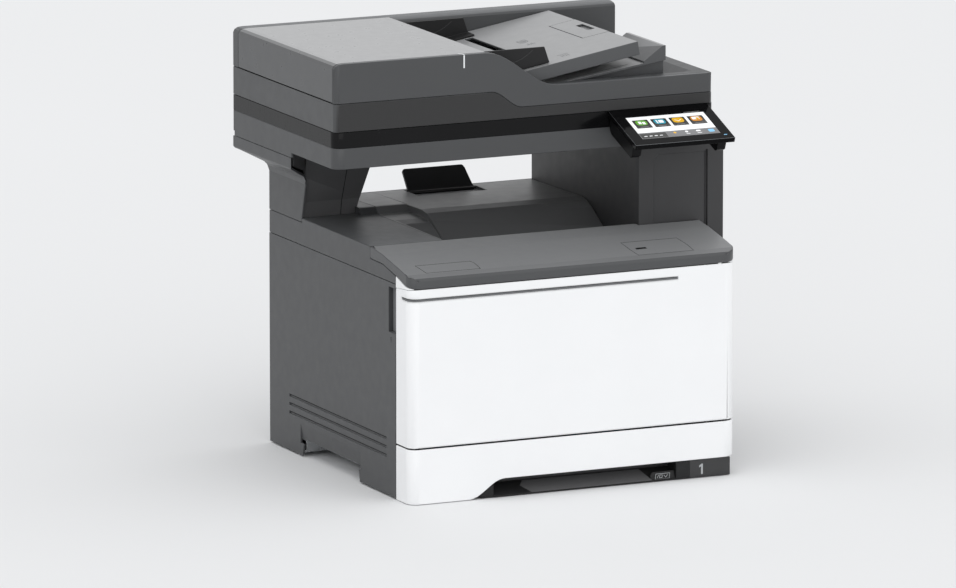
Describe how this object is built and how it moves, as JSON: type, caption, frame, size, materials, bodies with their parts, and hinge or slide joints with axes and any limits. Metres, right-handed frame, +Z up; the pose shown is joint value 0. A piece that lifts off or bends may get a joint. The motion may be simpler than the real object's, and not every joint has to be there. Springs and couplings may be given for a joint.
{
  "type": "photocopier",
  "caption": "Desktop copier: a printer body with door and paper drawer, and a column and tower that carry a scanner with a hinged sheet feeder and tilting touch panel.",
  "frame": {"origin": "middle of the machine's whole footprint, on the table", "axes": "+X to the machine's right seen from the front, +Y from the front to the back, +Z up"},
  "size_m": [0.5246, 0.4251, 0.5295],
  "materials": {
    "white_cover": "fine satin",
    "grey_cover": "fine spark-eroded grain",
    "light_top": "fine spark-eroded grain",
    "lid_grey": "fine spark-eroded grain",
    "dark_cover": "fine spark-eroded grain",
    "black_gloss": "polished",
    "black_plastic": "satin",
    "tray_grey": "fine grain",
    "inner_grey": "satin",
    "steel": "galvanised",
    "rubber": "matt",
    "guide_blue": "satin",
    "drum_coat": "polished",
    "belt": "semi-gloss",
    "fuser_red": "matt",
    "board": "solder mask",
    "clear_glass": "polished",
    "white_pad": "foam-backed sheet",
    "screen": "polished"
  },
  "bodies": {
    "chassis": {"base_pan": "steel", "feet": "rubber", "side_frames": "steel", "left_lower_cover": "grey_cover", "left_upper_cover": "grey_cover", "right_cover": "grey_cover", "rear_cover": "grey_cover", "front_lid": "lid_grey", "output_bin": "dark_cover", "left_column_cover": "grey_cover", "left_column_core": "dark_cover", "tower_shell": "dark_cover", "door_corner_trims": "white_cover", "laser_unit": "black_plastic", "transfer_belt": "belt", "toner_cartridges": "black_plastic", "fuser_housing": "black_plastic", "drive_motor": "steel", "main_board": "board", "ac_inlet": "black_plastic", "scanner_base": "grey_cover", "scanner_frame": "black_gloss", "platen_glass": "clear_glass", "adf_hinges": "steel", "panel_bracket": "black_plastic"},
    "door": {"front_door": "white_cover", "door_liner": "inner_grey"},
    "back_door": {"rear_door": "grey_cover"},
    "stop": {"paper_stop": "black_plastic"},
    "cassette": {"cassette_tray": "dark_cover", "cassette_front": "white_cover", "cassette_grip": "black_plastic"},
    "guide_l": {"side_guide_left": "guide_blue"},
    "guide_r": {"side_guide_right": "guide_blue"},
    "guide_end": {"end_guide": "guide_blue"},
    "lifter": {"lift_plate": "steel"},
    "picker": {"pick_roller": "rubber"},
    "drum_k": {"drum_black": "drum_coat"},
    "drum_c": {"drum_cyan": "drum_coat"},
    "drum_m": {"drum_magenta": "drum_coat"},
    "drum_y": {"drum_yellow": "drum_coat"},
    "belt_drive": {"belt_roller": "rubber"},
    "fuser_heat": {"heat_roller": "fuser_red"},
    "fuser_press": {"press_roller": "fuser_red"},
    "exit_feed": {"exit_roller": "rubber"},
    "mains_rocker": {"power_switch": "black_plastic"},
    "carriage": {"scan_carriage": "black_plastic"},
    "feeder": {"adf_base": "grey_cover", "adf_front_cover": "grey_cover", "adf_rear_cover": "grey_cover", "output_tray": "inner_grey", "platen_pad": "white_pad"},
    "jam_cover": {"adf_top_cover": "light_top"},
    "tray": {"input_tray": "tray_grey"},
    "tray_flap": {"tray_extension": "tray_grey"},
    "paper_guide_front": {"guide_front": "black_plastic"},
    "paper_guide_rear": {"guide_rear": "black_plastic"},
    "feed_roller": {"adf_roller": "rubber"},
    "panel": {"panel_housing": "black_plastic", "panel_glass": "screen"}
  },
  "joints": [
    {"name": "door_hinge", "type": "hinge", "parent": "chassis", "child": "door", "pos_m": [0.00825, -0.20555, 0.077], "axis": [1, 0, 0], "range_deg": [0, 85]},
    {"name": "back_door_hinge", "type": "hinge", "parent": "chassis", "child": "back_door", "pos_m": [0.00825, 0.20205, 0.0965], "axis": [-1, 0, 0], "range_deg": [0, 85]},
    {"name": "stop_hinge", "type": "hinge", "parent": "chassis", "child": "stop", "pos_m": [0.01325, 0.18945, 0.3046], "axis": [1, 0, 0], "range_deg": [0, 128]},
    {"name": "cassette_slide", "type": "slide", "parent": "chassis", "child": "cassette", "axis": [0, -1, 0], "range_m": [0, 0.3]},
    {"name": "guide_l_slide", "type": "slide", "parent": "cassette", "child": "guide_l", "axis": [1, 0, 0], "range_m": [0, 0.03]},
    {"name": "guide_r_slide", "type": "slide", "parent": "cassette", "child": "guide_r", "axis": [-1, 0, 0], "range_m": [0, 0.03]},
    {"name": "guide_end_slide", "type": "slide", "parent": "cassette", "child": "guide_end", "axis": [0, -1, 0], "range_m": [0, 0.08]},
    {"name": "lift_hinge", "type": "hinge", "parent": "cassette", "child": "lifter", "pos_m": [0.00825, -0.04255, 0.015], "axis": [-1, 0, 0], "range_deg": [0, 12]},
    {"name": "pick_spin", "type": "hinge", "parent": "chassis", "child": "picker", "pos_m": [0.00825, -0.17255, 0.074], "axis": [1, 0, 0], "continuous": true},
    {"name": "drum_k_spin", "type": "hinge", "parent": "chassis", "child": "drum_k", "pos_m": [0.00825, -0.09255, 0.1486], "axis": [1, 0, 0], "continuous": true},
    {"name": "drum_c_spin", "type": "hinge", "parent": "chassis", "child": "drum_c", "pos_m": [0.00825, -0.04255, 0.1486], "axis": [1, 0, 0], "continuous": true},
    {"name": "drum_m_spin", "type": "hinge", "parent": "chassis", "child": "drum_m", "pos_m": [0.00825, 0.00745, 0.1486], "axis": [1, 0, 0], "continuous": true},
    {"name": "drum_y_spin", "type": "hinge", "parent": "chassis", "child": "drum_y", "pos_m": [0.00825, 0.05745, 0.1486], "axis": [1, 0, 0], "continuous": true},
    {"name": "belt_spin", "type": "hinge", "parent": "chassis", "child": "belt_drive", "pos_m": [0.00825, -0.12255, 0.172], "axis": [1, 0, 0], "continuous": true},
    {"name": "heat_spin", "type": "hinge", "parent": "chassis", "child": "fuser_heat", "pos_m": [0.00825, -0.15455, 0.226], "axis": [1, 0, 0], "continuous": true},
    {"name": "press_spin", "type": "hinge", "parent": "chassis", "child": "fuser_press", "pos_m": [0.00825, -0.12795, 0.226], "axis": [1, 0, 0], "continuous": true},
    {"name": "exit_spin", "type": "hinge", "parent": "chassis", "child": "exit_feed", "pos_m": [0.00825, -0.11655, 0.279], "axis": [1, 0, 0], "continuous": true},
    {"name": "mains_rocker_hinge", "type": "hinge", "parent": "chassis", "child": "mains_rocker", "pos_m": [0.13825, 0.20165, 0.041], "axis": [-1, 0, 0], "range_deg": [0, 12]},
    {"name": "carriage_slide", "type": "slide", "parent": "chassis", "child": "carriage", "axis": [1, 0, 0], "range_m": [0, 0.3]},
    {"name": "feeder_lift", "type": "hinge", "parent": "chassis", "child": "feeder", "pos_m": [0.00825, 0.20685, 0.449], "axis": [-1, 0, 0], "range_deg": [0, 60]},
    {"name": "jam_cover_hinge", "type": "hinge", "parent": "feeder", "child": "jam_cover", "pos_m": [-0.261, 0.04245, 0.48235], "axis": [0, -1, 0], "range_deg": [0, 75]},
    {"name": "tray_lift", "type": "hinge", "parent": "feeder", "child": "tray", "pos_m": [-0.04249, 0.04545, 0.48372], "axis": [0, -1, 0], "range_deg": [0, 25]},
    {"name": "tray_flap_slide", "type": "slide", "parent": "tray", "child": "tray_flap", "axis": [0.9859, 0, 0.1676], "range_m": [0, 0.03]},
    {"name": "paper_guide_front_slide", "type": "slide", "parent": "tray", "child": "paper_guide_front", "axis": [0, 1, 0], "range_m": [0, 0.05]},
    {"name": "paper_guide_rear_slide", "type": "slide", "parent": "tray", "child": "paper_guide_rear", "axis": [0, -1, 0], "range_m": [0, 0.05]},
    {"name": "feed_roller_spin", "type": "hinge", "parent": "feeder", "child": "feed_roller", "pos_m": [-0.07975, 0.04245, 0.503], "axis": [0, 1, 0], "continuous": true},
    {"name": "panel_tilt", "type": "hinge", "parent": "chassis", "child": "panel", "pos_m": [0.17225, -0.11555, 0.4269], "axis": [1, 0, 0], "range_deg": [0, 45]}
  ],
  "couplings": [
    {"joint": "drum_c_spin", "follows": "drum_k_spin", "ratio": 1},
    {"joint": "drum_m_spin", "follows": "drum_k_spin", "ratio": 1},
    {"joint": "drum_y_spin", "follows": "drum_k_spin", "ratio": 1},
    {"joint": "belt_spin", "follows": "drum_k_spin", "ratio": -1.0811},
    {"joint": "heat_spin", "follows": "drum_k_spin", "ratio": -0.92308},
    {"joint": "press_spin", "follows": "drum_k_spin", "ratio": 0.92308},
    {"joint": "exit_spin", "follows": "drum_k_spin", "ratio": 1.5},
    {"joint": "guide_r_slide", "follows": "guide_l_slide", "ratio": 1},
    {"joint": "paper_guide_rear_slide", "follows": "paper_guide_front_slide", "ratio": 1}
  ]
}
